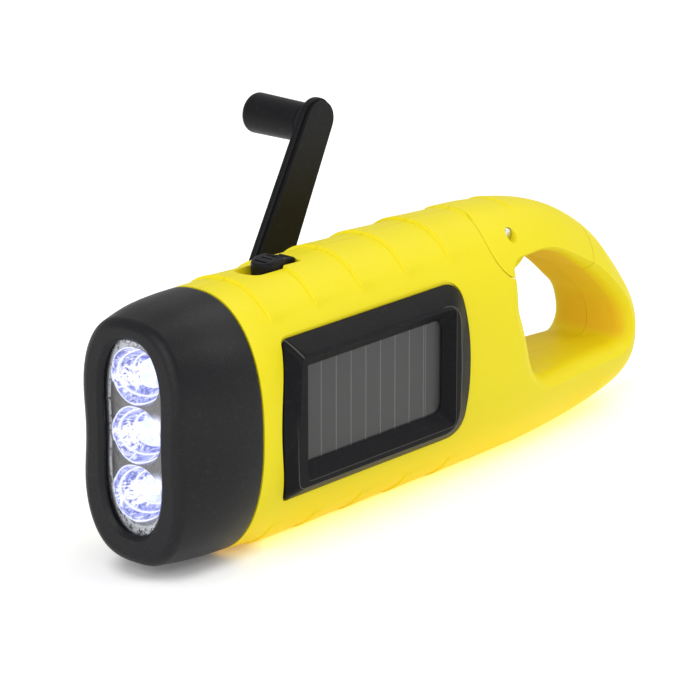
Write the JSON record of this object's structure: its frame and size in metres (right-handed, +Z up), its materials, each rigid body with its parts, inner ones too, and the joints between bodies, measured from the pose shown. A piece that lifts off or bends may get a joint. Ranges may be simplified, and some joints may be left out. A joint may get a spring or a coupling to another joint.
{
  "type": "hand crank flashlight",
  "caption": "Hand crank torch with a lamp head, slide switch, solar panel in a side frame, folding crank with a geared generator inside, and a sprung carabiner tail.",
  "frame": {"origin": "on the flat underside, on the parting plane, midway along the body", "axes": "+Y from the lamp head to the carabiner tail, +Z up through the switch, +X towards the solar panel side"},
  "size_m": [0.052, 0.135, 0.0675],
  "materials": {
    "yellow_plastic": "satin moulded, lemon yellow",
    "bezel_black": "satin with a fine spark texture",
    "frame_black": "satin",
    "crank_black": "satin",
    "switch_black": "matt",
    "lens": "clear polished plastic",
    "reflector_chrome": "vacuum metallised",
    "led_lit": "clear, lit blue white",
    "board_green": "solder mask",
    "solar_panel": "dark grey cells with thin lighter lines under clear resin",
    "steel": "plated",
    "nylon_white": "natural",
    "magnet": "sintered ferrite",
    "copper": "enamelled copper wire",
    "sleeve_green": "shrink sleeve",
    "component_black": "moulded",
    "wire_red": "insulation",
    "wire_black": "insulation"
  },
  "bodies": {
    "body": {"left_shell": "yellow_plastic", "right_shell": "yellow_plastic", "gate_spring": "steel", "head_bezel": "bezel_black", "lens_window": "lens", "reflector": "reflector_chrome", "led_1": "led_lit", "led_2": "led_lit", "led_3": "led_lit", "led_board": "board_green", "solar_frame": "frame_black", "solar_panel": "solar_panel", "slide_switch": "steel", "main_board": "board_green", "idler_pin_1": "steel", "idler_pin_2": "steel", "gearbox_plate": "steel", "gearbox_screw_1": "steel", "gearbox_screw_2": "steel", "gearbox_screw_3": "steel", "case_screw_1": "steel", "case_screw_2": "steel", "case_screw_3": "steel", "case_screw_4": "steel", "stator_can": "steel", "coil_bobbin": "nylon_white", "coil_winding": "copper", "cell_1": "steel", "cell_2": "steel", "cell_3": "steel", "cell_sleeve": "sleeve_green", "cell_tab_left": "steel", "cell_tab_right": "steel", "rectifier": "component_black", "capacitor": "component_black", "led_wire_red": "wire_red", "led_wire_black": "wire_black", "cell_wire_red": "wire_red", "cell_wire_black": "wire_black", "solar_wire_red": "wire_red", "solar_wire_black": "wire_black", "coil_wire_red": "wire_red", "coil_wire_black": "wire_black"},
    "crank": {"crank_hub": "crank_black", "fold_pin": "steel", "drive_gear": "nylon_white", "hub_washer": "steel", "hub_screw": "steel"},
    "arm": {"crank_arm": "crank_black", "knob_pin": "steel"},
    "knob": {"crank_knob": "crank_black"},
    "idler_1": {"idler_gear_1": "nylon_white"},
    "idler_2": {"idler_gear_2": "nylon_white"},
    "rotor": {"rotor_shaft": "steel", "rotor_pinion": "nylon_white", "rotor_magnet": "magnet"},
    "gate": {"gate": "yellow_plastic", "gate_pin": "steel"},
    "switch": {"switch_button": "switch_black", "switch_lever": "nylon_white"}
  },
  "joints": [
    {"name": "crank_spin", "type": "hinge", "parent": "body", "child": "crank", "pos_m": [0, -0.0169, 0.0245], "axis": [1, 0, 0], "continuous": true},
    {"name": "crank_fold", "type": "hinge", "parent": "crank", "child": "arm", "pos_m": [-0.0174, -0.01459, 0.02893], "axis": [0, -0.887, 0.4617], "range_deg": [0, 150]},
    {"name": "knob_spin", "type": "hinge", "parent": "arm", "child": "knob", "pos_m": [-0.028, 0.00291, 0.06255], "axis": [1, 0, 0], "continuous": true},
    {"name": "idler_1_spin", "type": "hinge", "parent": "body", "child": "idler_1", "pos_m": [-0.0075, -0.00104, 0.0319], "axis": [1, 0, 0], "continuous": true},
    {"name": "idler_2_spin", "type": "hinge", "parent": "body", "child": "idler_2", "pos_m": [-0.0054, -0.00226, 0.01795], "axis": [1, 0, 0], "continuous": true},
    {"name": "rotor_spin", "type": "hinge", "parent": "body", "child": "rotor", "pos_m": [0, 0.01053, 0.01226], "axis": [1, 0, 0], "continuous": true},
    {"name": "gate_swing", "type": "hinge", "parent": "body", "child": "gate", "pos_m": [0, 0.0233, 0.0428], "axis": [1, 0, 0], "range_deg": [-30, 0], "stiffness_Nm_per_rad": 0.02, "springref_deg": 28.65},
    {"name": "switch_slide", "type": "slide", "parent": "body", "child": "switch", "axis": [0, 1, 0], "range_m": [-0.0035, 0]}
  ],
  "couplings": [
    {"joint": "idler_1_spin", "follows": "crank_spin", "ratio": -4},
    {"joint": "idler_2_spin", "follows": "crank_spin", "ratio": 12},
    {"joint": "rotor_spin", "follows": "crank_spin", "ratio": -36}
  ]
}
